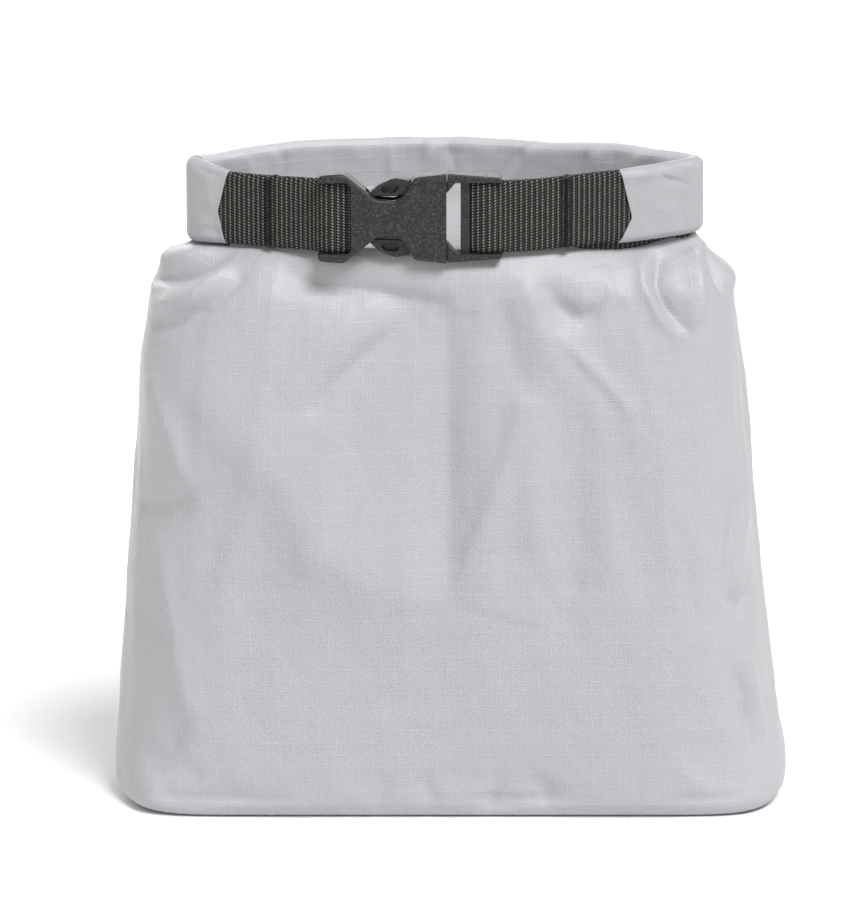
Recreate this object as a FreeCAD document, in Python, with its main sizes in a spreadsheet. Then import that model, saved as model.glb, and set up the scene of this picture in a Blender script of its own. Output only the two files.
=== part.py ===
"""A small roll-top dry bag: a standing fabric bag whose top is rolled down and bent into a ring,
which a side-release buckle on two webbing straps closes at the front.

Frame, in millimetres: the origin is the centre of the base on the ground, +Z is up, +X is to the
right as seen from the buckle side, and the buckle faces -Y.
"""
import FreeCAD, Part
import math
import os

import Sketcher

V = FreeCAD.Vector

# alias: (millimetres or degrees, what it measures)
SIZES = {
    "base_width": (242.0, "widest part of the bag, just above the ground"),
    "base_depth": (70.0, "front to back just above the ground"),
    "foot_width": (224.0, "flat part of the base, side to side"),
    "foot_depth": (54.0, "flat part of the base, front to back"),
    "belly_depth": (80.0, "front to back at the fullest height"),
    "chest_width": (221.0, "side to side two thirds up"),
    "chest_depth": (76.0, "front to back two thirds up"),
    "shoulder_width": (211.0, "side to side where the shoulders turn in"),
    "shoulder_depth": (70.0, "front to back where the shoulders turn in"),
    "neck_width": (186.0, "side to side under the rolled collar"),
    "neck_depth": (62.0, "front to back under the rolled collar"),
    "corner_radius": (26.0, "rounding of the bag's upright edges"),
    "fabric": (0.8, "thickness of the coated fabric with its seams"),
    "roof_back": (206.2, "height of the bag's top face at the back of the collar"),
    "roof_slope": (6.0, "degrees that the top face drops towards the buckle"),
    "tape_width": (20.0, "seam tape"),
    "tape_thickness": (0.4, "seam tape"),
    "collar_low": (207.0, "underside of the rolled collar"),
    "collar_height": (30.0, "height of the rolled collar"),
    "collar_half": (3.5, "half the thickness of the rolled collar"),
    "back_radius": (135.8, "centreline radius of the collar's back run"),
    "back_centre": (-102.8, "y of that arc's centre"),
    "front_radius": (157.3, "centreline radius of the collar's front run"),
    "front_centre": (126.3, "y of that arc's centre"),
    "collar_reach": (93.5, "how far the folded ends of the collar reach sideways"),
    "left_sleeve_end": (76.0, "x of the left sleeve's edge, towards -X"),
    "right_sleeve_end": (61.0, "x of the right sleeve's edge"),
    "sleeve_notch": (4.0, "depth of the V in each sleeve's edge"),
    "rim_start": (35.5, "x where the rim webbing starts behind the right strap"),
    "rim_low": (206.6, "lower edge of the rim webbing, which hangs just below the roll"),
    "webbing_width": (25.0, "webbing"),
    "webbing": (1.4, "webbing thickness"),
    "rim_inner": (2.6, "how far the rim webbing lies inside the roll's centreline"),
    "rim_outer": (1.5, "its outer face, on the same line"),
    "strap_end": (84.0, "x where each strap ends inside its sleeve"),
    "left_tangent": (72.8, "x where the left strap meets the collar's front arc"),
    "buckle_y": (-30.0, "plane of the buckle"),
    "mouth_half": (16.2, "half height of the socket's mouth"),
    "socket_length": (45.5, "length of the buckle's socket half"),
    "socket_thick": (10.0, "thickness of the socket half"),
    "cavity_half": (13.1, "half height inside the socket"),
    "cavity_thick": (5.4, "thickness of the space inside the socket"),
    "cavity_length": (28.5, "depth of the space inside the socket"),
    "socket_bar": (40.45, "distance of the socket's webbing bar from the mouth"),
    "plug_length": (19.8, "length of the plug half outside the socket"),
    "plug_thick": (7.6, "thickness of the plug's frame"),
    "plug_bar": (14.3, "distance of the plug's webbing bar from the mouth"),
    "bar_radius": (1.6, "both webbing bars"),
    "eye_radius": (1.9, "inside of the loop of webbing round each bar"),
    "beam_end": (5.2, "how far the plug's beam reaches into the socket"),
    "prong_thick": (4.8, "thickness of the prongs and of the beam"),
    "pivot_half": (10.6, "height of each prong's root above the buckle's centre"),
    "pivot_radius": (1.5, "radius of each prong's root"),
    "stitch_radius": (0.3, "thread"),
    "stitch_length": (3.2, "width of a bar tack"),
    "left_tack": (59.0, "x of the left bar tack, towards -X"),
    "right_tack": (41.0, "x of the right bar tack"),
}
PARTS = []  # every finished sub-part, in the order it was made

doc = FreeCAD.newDocument("dry_bag")
sheet = doc.addObject("Spreadsheet::Sheet", "Sizes")
for row, (alias, (amount, meaning)) in enumerate(SIZES.items(), start=1):
    sheet.set(f"A{row}", meaning)
    sheet.set(f"B{row}", str(amount))
    sheet.setAlias(f"B{row}", alias)
doc.recompute()


def cell(alias):
    """A size as a number."""
    return float(getattr(sheet, alias))


def bound(formula):
    """The formula with each alias written as the sheet's own name."""
    words = []
    for word in formula.replace("(", " ( ").replace(")", " ) ").split():
        words.append(f"Sizes.{word}" if word in SIZES else word)
    return " ".join(words)


def amount_of(formula):
    """The number that a formula of aliases gives."""
    return float(sheet.evalExpression(bound(formula)))


def bind(thing, **formulas):
    """Ties properties to the sheet. Placement parts are given as x, y and z."""
    for name, formula in formulas.items():
        path = f"Placement.Base.{name}" if name in ("x", "y", "z") else name
        thing.setExpression(path, bound(formula))
    return thing


def finished(thing, label):
    """Takes thing as a sub-part with that name."""
    thing.Label = label
    PARTS.append(thing)
    return thing


# ---- plain solids and booleans

def cylinder(name, radius, height, x="0", y="0", z="0"):
    return bind(doc.addObject("Part::Cylinder", name), Radius=radius, Height=height, x=x, y=y, z=z)


def box(name, length, width, height, x, y, z):
    made = doc.addObject("Part::Box", name)
    return bind(made, Length=length, Width=width, Height=height, x=x, y=y, z=z)


def cut(name, base, tool):
    made = doc.addObject("Part::Cut", name)
    made.Base, made.Tool = base, tool
    return made


def together(kind, name, shapes):
    """kind is Part::MultiCommon or Part::MultiFuse."""
    made = doc.addObject(kind, name)
    made.Shapes = shapes
    return made


# ---- sketches in PartDesign bodies

def body_at_buckle(name):
    """A body whose own origin is the middle of the line where the buckle's halves meet."""
    body = doc.addObject("PartDesign::Body", name)
    return bind(body, y="buckle_y", z="collar_low + collar_height / 2")


def sketch_on(body, name, role="XZ_Plane"):
    sketch = body.newObject("Sketcher::SketchObject", name)
    plane = next(f for f in body.Origin.OriginFeatures if f.Role == role)
    sketch.AttachmentSupport = (plane, [""])
    sketch.MapMode = "FlatFace"
    return sketch


def polygon(sketch, corners):
    """Closed outline through corners, each a pair of formulas, tied to the sheet."""
    points = [V(amount_of(x), amount_of(y), 0) for x, y in corners]
    count = len(points)
    for i in range(count):
        sketch.addGeometry(Part.LineSegment(points[i], points[(i + 1) % count]))
    for i in range(count):
        sketch.addConstraint(Sketcher.Constraint("Coincident", i, 2, (i + 1) % count, 1))
    for i, pair in enumerate(corners):
        for kind, formula, axis in zip(("DistanceX", "DistanceY"), pair, (-2, -1)):
            if formula == "0":
                sketch.addConstraint(Sketcher.Constraint("PointOnObject", i, 1, axis))
                continue
            value = amount_of(formula)
            k = sketch.addConstraint(Sketcher.Constraint(kind, -1, 1, i, 1, value))
            sketch.setExpression(f"Constraints[{k}]", bound(formula))
    return sketch


def mirrored(corners):
    """The same corners below the x axis, in reverse order, closing the upper half's outline."""
    return corners + [(x, f"0 - ( {y} )") for x, y in reversed(corners)]


def circle(sketch, x, y, radius):
    shape = Part.Circle(V(amount_of(x), amount_of(y), 0), V(0, 0, 1), amount_of(radius))
    sketch.addGeometry(shape)
    if y == "0":
        sketch.addConstraint(Sketcher.Constraint("PointOnObject", 0, 3, -1))
    else:
        k = sketch.addConstraint(Sketcher.Constraint("DistanceY", -1, 1, 0, 3, amount_of(y)))
        sketch.setExpression(f"Constraints[{k}]", bound(y))
    k = sketch.addConstraint(Sketcher.Constraint("DistanceX", -1, 1, 0, 3, amount_of(x)))
    sketch.setExpression(f"Constraints[{k}]", bound(x))
    k = sketch.addConstraint(Sketcher.Constraint("Radius", 0, amount_of(radius)))
    sketch.setExpression(f"Constraints[{k}]", bound(radius))
    return sketch


def slab(body, kind, name, sketch, thick):
    """A Pad or Pocket of the sketch, half its thickness on each side of the sketch's plane."""
    feature = body.newObject(f"PartDesign::{kind}", name)
    feature.Profile = sketch
    feature.Midplane = True
    bind(feature, Length=thick)
    doc.recompute()
    return feature


def round_edges(body, name, radius, wanted, kind="Fillet", size="Radius"):
    """Fillets the edges of the body's tip for which wanted(edge) is true."""
    base = body.Tip
    names = [f"Edge{i}" for i, e in enumerate(base.Shape.Edges, start=1) if wanted(e)]
    feature = body.newObject(f"PartDesign::{kind}", name)
    feature.Base = (base, names)
    bind(feature, **{size: radius})
    doc.recompute()
    return feature


def upright_at(*corners, reach=0.6):
    """Tests for an edge along the buckle's thickness that passes near one of the corners."""
    spots = [(amount_of(x), amount_of(z)) for x, z in corners]

    def wanted(edge):
        low, high = edge.BoundBox.getPoint(0), edge.BoundBox.getPoint(6)
        straight = high.x - low.x < 0.01 and high.z - low.z < 0.01
        return straight and any(math.hypot(low.x - x, low.z - z) < reach for x, z in spots)

    return wanted


def on_face(half_thick, inside=None):
    """Tests for an edge that lies in one of the two faces of a slab, and inside a test of (x, z)."""
    limit = amount_of(half_thick)

    def wanted(edge):
        bounds = edge.BoundBox
        flat = bounds.YMax - bounds.YMin < 0.01 and abs(abs(bounds.YMax) - limit) < 0.01
        return flat and (inside is None or inside(bounds))

    return wanted


# ---- the bag's fabric

def sections(inset):
    """(height, width, depth) of the bag from the ground up, inside the fabric by inset."""
    foot, base = cell("foot_width"), cell("base_width")
    low, full = cell("foot_depth"), cell("base_depth")
    belly, chest = cell("belly_depth"), cell("chest_width")
    shoulder, neck = cell("shoulder_width"), cell("neck_width")
    rising = [
        (inset, foot, low),
        (2.5, foot + 0.6 * (base - foot), low + 0.55 * (full - low)),
        (7.5, base - 1.0, full - 1.5),
        (14.0, base, full + 3.0),
        (34.0, base - 4.0, belly - 3.0),
        (72.0, base - 11.0, belly),
        (110.0, chest + 4.0, belly),
        (147.0, chest, cell("chest_depth") + 1.5),
        (178.0, shoulder + 4.5, cell("shoulder_depth") + 2.0),
        (192.5, shoulder, cell("shoulder_depth") - 3.0),
        (201.0, neck + 11.0, cell("neck_depth") + 1.0),
        (212.0, neck - 6.0, cell("neck_depth") - 4.0),
    ]
    return [(z, width - 2 * inset, depth - 2 * inset) for z, width, depth in rising]


def rounded_outline(z, width, depth, radius):
    """A level rectangle with round corners, as one closed wire."""
    x, y, r = width / 2, depth / 2, min(radius, depth / 2 - 1.0)
    k = r * (1 - math.sqrt(0.5))
    edges = []
    turns = [(1, -1), (1, 1), (-1, 1), (-1, -1)]
    for i, (sx, sy) in enumerate(turns):
        before = V(sx * x, sy * (y - r), z) if sx * sy > 0 else V(sx * (x - r), sy * y, z)
        after = V(sx * (x - r), sy * y, z) if sx * sy > 0 else V(sx * x, sy * (y - r), z)
        middle = V(sx * (x - k), sy * (y - k), z)
        edges.append(Part.Arc(before, middle, after).toShape())
        nx, ny = turns[(i + 1) % 4]
        follows = V(nx * x, ny * (y - r), z) if nx * ny > 0 else V(nx * (x - r), ny * y, z)
        edges.append(Part.makeLine(after, follows))
    return Part.Wire(edges)


def bag_volume(inset):
    """The bag as one closed volume, inside the fabric's outer face by inset."""
    radius = cell("corner_radius") - inset
    wires = [rounded_outline(z, w, d, radius) for z, w, d in sections(inset)]
    tall = Part.makeLoft(wires, True, True)
    keep = Part.makeBox(400, 600, 600, V(-200, -300, -600))
    keep.rotate(V(0, 0, 0), V(1, 0, 0), cell("roof_slope"))
    keep.translate(V(0, cell("neck_depth") / 2, cell("roof_back") - inset))
    return tall.common(keep)


def plain_piece(label, shape):
    made = doc.addObject("Part::Feature", label)
    made.Shape = shape
    return finished(made, label)


def half_space(front):
    return Part.makeBox(400, 200, 400, V(-200, -200 if front else 0, -50))


def make_panels():
    """Base, front and back panels: one thin shell, parted where the bag is sewn."""
    wall = cell("fabric")
    shell = bag_volume(0).cut(bag_volume(wall))
    floor = Part.makeBox(400, 200, wall, V(-200, -100, 0))
    plain_piece("base_panel", shell.common(floor))
    walls = shell.cut(floor)
    plain_piece("front_panel", walls.common(half_space(True)))
    plain_piece("back_panel", walls.common(half_space(False)))


def make_tapes():
    """Seam tape inside the bag: up both side seams and round the base seam."""
    wall, thick, wide = cell("fabric"), cell("tape_thickness"), cell("tape_width")
    lining = bag_volume(wall).cut(bag_volume(wall + thick))
    base_top = wide / 2 + wall
    rise = cell("roof_back") - cell("tape_width") - base_top
    for side, start in (("left", -200), ("right", 60)):
        strip = Part.makeBox(140, wide, rise, V(start, -wide / 2, base_top + thick))
        plain_piece(f"{side}_seam_tape", lining.common(strip))
    ring = lining.cut(Part.makeBox(400, 200, 60, V(-200, -100, wall - 59)))
    skirt = lining.common(Part.makeBox(400, 200, base_top - wall - thick, V(-200, -100, wall + thick)))
    plain_piece("base_seam_tape", skirt.common(ring))


# ---- the rolled collar: layers of a ring made of two arcs

def lens(name, offset, low, height):
    """Upright solid inside both of the collar's arcs, moved outwards by offset."""
    discs = [
        cylinder(f"{name}_back", f"back_radius + {offset}", height, y="back_centre", z=low),
        cylinder(f"{name}_front", f"front_radius + {offset}", height, y="front_centre", z=low),
        cylinder(f"{name}_ends", f"collar_reach - collar_half + {offset}", height, z=low),
    ]
    return together("Part::MultiCommon", name, discs)


def band(name, inner, outer, low, height):
    """One layer of the ring, from offset inner to offset outer."""
    hole = lens(f"{name}_in", inner, f"{low} - 5", f"{height} + 10")
    return cut(name, lens(f"{name}_out", outer, low, height), hole)


def front_gap(name, left, right, notch):
    """What is cut from the front of the ring, with V-shaped ends as deep as notch."""
    body = doc.addObject("PartDesign::Body", name)
    bind(body, z="collar_low + collar_height / 2")
    low, high = "0 - collar_height / 2 - 1", "collar_height / 2 + 1"
    outline = [
        (left, low), (f"{left} - {notch}", "0"), (left, high),
        (right, high), (f"{right} + {notch}", "0"), (right, low),
    ]
    sketch = polygon(sketch_on(body, f"{name}_outline"), outline)
    feature = slab(body, "Pad", f"{name}_pad", sketch, "80")
    feature.Midplane = False
    doc.recompute()
    if body.Shape.BoundBox.YMin > -20:
        feature.Reversed = True
    return body


def make_collar():
    """The outermost turn is a folded-over channel, open below, that holds the other layers."""
    skin = "collar_half - fabric"
    whole = band("turn", "0 - collar_half", "collar_half", "collar_low", "collar_height")
    inside = band("turn_inside", f"0 - ( {skin} )", skin, "collar_low - 2", "collar_height + 2 - fabric")
    channel = cut("turn_channel", whole, inside)
    sleeves = front_gap("sleeve_gap", "0 - left_sleeve_end", "right_sleeve_end", "sleeve_notch")
    finished(cut("outer_turn", channel, sleeves), "collar_outer_turn")

    strip = band("rim", "0 - rim_inner", "0 - rim_outer", "rim_low", "webbing_width")
    ends = front_gap("rim_gap", "0 - left_sleeve_end", "rim_start", "0.1")
    finished(cut("rim_strip", strip, ends), "rim_webbing")

    turns = band("turns", "0 - 1.4", "2.6", "collar_low + 1", "collar_height - 2.5")
    front = box("turns_front", "400", "100", "100", "0 - 200", "0 - 103.5", "collar_low - 20")
    finished(cut("turns_cut", turns, front), "collar_inner_turns")


# ---- straps

STRAP_LOW = "collar_low + collar_height / 2 - webbing_width / 2"


def eye(name, x, radius, height, low):
    return cylinder(name, radius, height, x=x, y="buckle_y", z=low)


def arc_band(name, start, length):
    """The part of a double layer of webbing that follows the collar's front arc."""
    place = {"height": "webbing_width", "y": "front_centre", "z": STRAP_LOW}
    outer = cylinder(f"{name}_outer", "front_radius + webbing", **place)
    inner = cylinder(f"{name}_inner", "front_radius - webbing", **place)
    window = box(f"{name}_window", length, "60", "webbing_width", start, "0 - 60", STRAP_LOW)
    return together("Part::MultiCommon", name, [cut(f"{name}_ring", outer, inner), window])


def strap_join():
    """Where the left strap's straight run meets the collar's front arc."""
    x = -cell("left_tangent")
    return V(x, cell("front_centre") - math.sqrt(cell("front_radius") ** 2 - x**2), 0)


def left_run():
    """From the socket's bar to the front arc."""
    return strap_join() - V(-cell("socket_bar"), cell("buckle_y"), 0)


def straight_band(name):
    """The left strap's straight run, from the socket's bar to where it meets the arc."""
    along = left_run()
    turn = FreeCAD.Rotation(V(1, 0, 0), along)
    aside = turn.multVec(V(0, -cell("webbing"), 0))
    x, y = f"{aside.x} - socket_bar", f"buckle_y + {aside.y}"
    run = box(name, f"{along.Length + 0.5}", "2 * webbing", "webbing_width", x, y, STRAP_LOW)
    run.Placement = FreeCAD.Placement(V(0, 0, 0), turn)
    return run


def strap(label, bar_x, bands):
    """Webbing doubled round a bar: an eye and the two layers sewn together."""
    outside = eye(f"{label}_eye", bar_x, "eye_radius + webbing", "webbing_width", STRAP_LOW)
    solid = together("Part::MultiFuse", f"{label}_solid", [outside, *bands])
    hole = eye(f"{label}_hole", bar_x, "eye_radius", "webbing_width + 4", f"{STRAP_LOW} - 2")
    finished(cut(f"{label}_cut", solid, hole), label)


def make_straps():
    left_arc = arc_band("left_arc", "0 - strap_end", "strap_end - left_tangent + 0.5")
    strap("left_strap", "0 - socket_bar", [straight_band("left_run"), left_arc])
    right_arc = arc_band("right_arc", "plug_bar", "strap_end - plug_bar")
    strap("right_strap", "plug_bar", [right_arc])


def make_bar_tack(label, x, direction, back):
    """Rows of short threads across a strap, on its front and behind its layers, back deep."""
    radius, length = cell("stitch_radius"), cell("stitch_length")
    if x < 0:
        y = cell("buckle_y") + (x + cell("socket_bar")) * direction.y / direction.x
    else:
        y = cell("front_centre") - math.sqrt(cell("front_radius") ** 2 - x**2)
    normal = V(-direction.y, direction.x, 0) if direction.x > 0 else V(direction.y, -direction.x, 0)
    rows = 16
    low = cell("collar_low") + cell("collar_height") / 2 - cell("webbing_width") / 2
    step = cell("webbing_width") / rows
    threads = []
    for away in (-cell("webbing") - radius - 0.02, back + radius + 0.02):
        for row in range(rows):
            middle = V(x, y, low + (row + 0.5) * step) + normal * away
            threads.append(Part.makeCylinder(radius, length, middle - direction * length / 2, direction))
    plain_piece(label, Part.makeCompound(threads))


def make_bar_tacks():
    make_bar_tack("left_bar_tack", -cell("left_tack"), left_run().normalize(), cell("webbing"))
    x = cell("right_tack")
    slope = x / math.sqrt(cell("front_radius") ** 2 - x**2)
    make_bar_tack("right_bar_tack", x, V(1, slope, 0).normalize(), cell("rim_inner"))


# ---- the buckle

def webbing_bar(body, name, x, length):
    """A round bar for webbing, along the buckle's height."""
    sketch = circle(sketch_on(body, f"{name}_section", "XY_Plane"), x, "0", "bar_radius")
    slab(body, "Pad", name, sketch, length)


def make_socket():
    """The outer half: a flat tube with waisted sides, where the prongs show, and a webbing bar."""
    body = body_at_buckle("socket_body")
    upper = [
        ("0", "mouth_half"), ("0 - 11.3", "mouth_half - 1.3"), ("0 - 16.6", "6.2"),
        ("0 - 24.8", "6.8"), ("0 - 36.3", "mouth_half"), ("0 - socket_length", "mouth_half - 0.8"),
    ]
    outline = polygon(sketch_on(body, "socket_outline"), mirrored(upper))
    slab(body, "Pad", "socket_pad", outline, "socket_thick")
    both = mirrored(upper)
    round_edges(body, "socket_waist", "5", upright_at(both[2], both[3], both[8], both[9]))
    round_edges(body, "socket_lobes", "4", upright_at(both[4], both[7]))
    round_edges(body, "socket_corners", "1.5", upright_at(both[1], both[10], both[5], both[6]))
    sides = on_face("socket_thick / 2", lambda b: b.XMax < -0.1 or b.XMax - b.XMin > 0.1)
    round_edges(body, "socket_edges", "1.2", sides)

    web_half = "webbing_width / 2 + 0.4"
    tail = [("0 - socket_length - 1", web_half), ("0 - 35.2", web_half), ("0 - 33.9", f"{web_half} - 1.3")]
    slab(body, "Pocket", "socket_tail", polygon(sketch_on(body, "tail_outline"), mirrored(tail)), "20")
    slot = on_face("socket_thick / 2", lambda b: b.XMax < -33 and abs(b.ZMax) < 13 and abs(b.ZMin) < 13)
    round_edges(body, "slot_edges", "0.5", slot)

    back = "0 - cavity_length"
    room = [("1", "cavity_half"), ("0 - 20", "cavity_half"), (back, "cavity_half - 3")]
    cavity = polygon(sketch_on(body, "cavity_outline"), mirrored(room))
    slab(body, "Pocket", "socket_cavity", cavity, "cavity_thick")
    webbing_bar(body, "socket_web_bar", "0 - socket_bar", "webbing_width + 2.6")
    finished(body, "buckle_socket")


def make_plug():
    """The inner half: a frame with two bars, a beam inside the socket's mouth and a guide pin."""
    body = body_at_buckle("plug_body")
    frame = [
        ("0.3", "mouth_half - 0.1"), ("plug_length - 0.8", "mouth_half - 1.5"),
        ("plug_length", "mouth_half - 2.3"),
    ]
    outline = polygon(sketch_on(body, "frame_outline"), mirrored(frame))
    slab(body, "Pad", "plug_frame", outline, "plug_thick")
    web_half = "webbing_width / 2 + 0.4"
    window = [("0 - 0.3", "8.8"), ("3.2", web_half), ("plug_length + 1", web_half)]
    slab(body, "Pocket", "plug_window", polygon(sketch_on(body, "window_outline"), mirrored(window)), "20")
    rim = on_face("plug_thick / 2", lambda b: b.ZMin > 13.2 or b.ZMax < -13.2)
    round_edges(body, "frame_edges", "0.8", rim)

    shoulder = "cavity_half - 0.25"
    beam = [("0 - beam_end", shoulder), ("0.9", shoulder), ("0.9", "9.8"), ("0 - 0.3", "8.8")]
    slab(body, "Pad", "plug_beam", polygon(sketch_on(body, "beam_outline"), mirrored(beam)), "prong_thick")
    pin = [("0 - 24", "0.8"), ("0 - 22.5", "1.7"), ("0 - beam_end + 0.2", "1.7")]
    slab(body, "Pad", "guide_pin", polygon(sketch_on(body, "pin_outline"), mirrored(pin)), "3.4")
    for name, z in (("upper", "pivot_half"), ("lower", "0 - pivot_half")):
        seat = circle(sketch_on(body, f"{name}_seat_circle"), "0 - beam_end", z, "pivot_radius + 0.1")
        slab(body, "Pocket", f"{name}_seat", seat, "20")
    first_bar = [("5", "webbing_width / 2 + 1"), ("8.2", "webbing_width / 2 + 1")]
    slab(body, "Pad", "plug_grip_bar", polygon(sketch_on(body, "grip_outline"), mirrored(first_bar)), "3.8")
    webbing_bar(body, "plug_web_bar", "plug_bar", "webbing_width + 1.6")
    finished(body, "buckle_plug")


def make_prong(label, sign):
    """One sprung arm with its thumb pad, which shows in the socket's waist. sign is 1 for the upper."""
    def at(z):
        return z if sign > 0 else f"0 - ( {z} )"

    body = body_at_buckle(f"{label}_body")
    arm = [
        ("0 - 5.6", "12.0"), ("0 - 12.6", "12.1"), ("0 - 13.1", "13.5"), ("0 - 18.4", "14.5"),
        ("0 - 24", "11.9"), ("0 - 27.6", "8.6"), ("0 - 26.9", "7.6"), ("0 - 18", "7.8"), ("0 - 5.6", "9.3"),
    ]
    corners = [(x, at(z)) for x, z in arm]
    outline = polygon(sketch_on(body, f"{label}_outline"), corners)
    slab(body, "Pad", f"{label}_pad", outline, "prong_thick")
    round_edges(body, f"{label}_crown", "6", upright_at(corners[3], corners[4]))
    round_edges(body, f"{label}_tip", "0.7", upright_at(corners[2], corners[5], corners[6]))
    root = circle(sketch_on(body, f"{label}_root_circle"), "0 - beam_end", at("pivot_half"), "pivot_radius")
    slab(body, "Pad", f"{label}_root", root, "prong_thick")
    edge = on_face("prong_thick / 2", lambda b: b.XMax < -13.5)
    round_edges(body, f"{label}_edges", "0.4", edge)
    oval = [
        ("0 - 16.2", at("11.2")), ("0 - 18", at("12.3")), ("0 - 21.5", at("12.0")),
        ("0 - 23.8", at("10.2")), ("0 - 22.0", at("8.9")), ("0 - 18.4", at("8.9")),
    ]
    for side, name in ((-1, "front"), (1, "back")):
        recess = polygon(sketch_on(body, f"{label}_{name}_oval"), oval)
        face = V(0, 0, -side * cell("prong_thick") / 2)
        recess.AttachmentOffset = FreeCAD.Placement(face, FreeCAD.Rotation())
        slab(body, "Pocket", f"{label}_{name}_recess", recess, "3.2")
    round_edges(body, f"{label}_ovals", "1", upright_at(*oval, reach=0.3))
    finished(body, label)


def write_parts():
    """Checks every object and sub-part, then writes one STEP file for each sub-part."""
    doc.recompute()
    for thing in doc.Objects:
        bad = [word for word in ("Invalid", "Error") if word in thing.State]
        if bad:
            raise RuntimeError(f"{thing.Name} is {bad}")
    os.makedirs("parts", exist_ok=True)
    for thing in PARTS:
        shape = thing.Shape
        if shape.isNull() or not shape.isValid() or not shape.Solids:
            raise RuntimeError(f"{thing.Label} has no valid solid")
        shape.exportStep(os.path.join("parts", f"{thing.Label}.step"))
        bounds = shape.BoundBox
        print(f"{thing.Label:20s} solids {len(shape.Solids):3d}  volume {shape.Volume:10.1f}  "
              f"x {bounds.XMin:7.1f} {bounds.XMax:6.1f}  y {bounds.YMin:6.1f} {bounds.YMax:6.1f}  "
              f"z {bounds.ZMin:6.1f} {bounds.ZMax:6.1f}")


make_panels()
make_tapes()
make_collar()
make_straps()
make_bar_tacks()
make_socket()
make_plug()
make_prong("upper_prong", 1)
make_prong("lower_prong", -1)
write_parts()
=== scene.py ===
"""The looks of the roll-top dry bag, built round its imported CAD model.

Lengths are in millimetres until a mesh is made. Meshes, blends, materials, lights and the camera
are in metres. The frame is the CAD's: +Z up, the buckle faces -Y, and +X is to the right of
someone who looks at the buckle.
"""

import math

import bmesh
import bpy
import numpy as np
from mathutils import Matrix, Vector


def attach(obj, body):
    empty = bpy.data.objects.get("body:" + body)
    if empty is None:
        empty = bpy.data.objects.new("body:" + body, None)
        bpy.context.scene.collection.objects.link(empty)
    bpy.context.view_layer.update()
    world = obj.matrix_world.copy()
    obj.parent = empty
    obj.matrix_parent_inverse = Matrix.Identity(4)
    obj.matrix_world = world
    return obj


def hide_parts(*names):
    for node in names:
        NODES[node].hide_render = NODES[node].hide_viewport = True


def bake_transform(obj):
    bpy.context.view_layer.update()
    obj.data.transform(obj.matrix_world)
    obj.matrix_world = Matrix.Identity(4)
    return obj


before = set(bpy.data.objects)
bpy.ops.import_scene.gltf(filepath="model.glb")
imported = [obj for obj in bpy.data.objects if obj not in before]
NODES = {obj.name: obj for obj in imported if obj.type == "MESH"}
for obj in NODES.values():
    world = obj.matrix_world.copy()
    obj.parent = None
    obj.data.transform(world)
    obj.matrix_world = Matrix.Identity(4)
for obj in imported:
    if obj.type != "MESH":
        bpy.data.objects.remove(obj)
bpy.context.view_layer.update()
MM = 0.001


# ---- the ring that the rolled collar, the straps and the buckle make, seen from above

BACK_RADIUS, BACK_CENTRE = 135.8, -102.8
FRONT_RADIUS, FRONT_CENTRE = 157.3, 126.3
RING_TIP = 91.0  # how far the ring's corners are from the middle
COLLAR_LOW, COLLAR_HIGH = 207.0, 237.0
COLLAR_HALF = 3.5  # half the thickness of the flattened roll

BUCKLE_Y, BUCKLE_Z = -30.0, 222.0
SOCKET_BAR, PLUG_BAR = -40.45, 14.3
LEFT_TACK, RIGHT_TACK = -62.5, 42.0
RIB = 1.92  # from one rib of the webbing to the next


def front_arc(x):
    """The y of the ring's front run, where the straps and the buckle are."""
    return FRONT_CENTRE - np.sqrt(FRONT_RADIUS**2 - np.asarray(x, float) ** 2)


def back_arc(x):
    """The y of the ring's back run."""
    return BACK_CENTRE + np.sqrt(BACK_RADIUS**2 - np.asarray(x, float) ** 2)


def ease(t):
    """Goes smoothly from 0 to 1 as t does, and stays there."""
    t = np.clip(t, 0.0, 1.0)
    return t * t * (3 - 2 * t)


def table(rows, at):
    """Smooth values at the given places, through rows of (place, value, value, ...)."""
    rows = np.array(rows, float)
    place, values = rows[:, 0], rows[:, 1:]
    slope = np.gradient(values, place, axis=0)
    at = np.clip(np.asarray(at, float), place[0], place[-1])
    i = np.clip(np.searchsorted(place, at, side="right") - 1, 0, len(place) - 2)
    h = (place[i + 1] - place[i])[:, None]
    t = (at[:, None] - place[i][:, None]) / h
    a, b = values[i], values[i + 1]
    return (
        (2 * t**3 - 3 * t**2 + 1) * a + (t**3 - 2 * t**2 + t) * h * slope[i]
        + (3 * t**2 - 2 * t**3) * b + (t**3 - t**2) * h * slope[i + 1]
    )


def soft_noise(points, size, seed):
    """Smooth noise in -1 to 1 at points in millimetres: a few sine waves in fixed directions."""
    rng = np.random.default_rng(seed)
    total = np.zeros(len(points))
    for _ in range(7):
        direction = rng.normal(size=3)
        direction /= np.linalg.norm(direction)
        wave = size * rng.uniform(0.7, 1.5)
        total += np.sin(points @ direction * 2 * math.pi / wave + rng.uniform(0, 2 * math.pi))
    return total / 4.0


# ---- meshes


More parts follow.
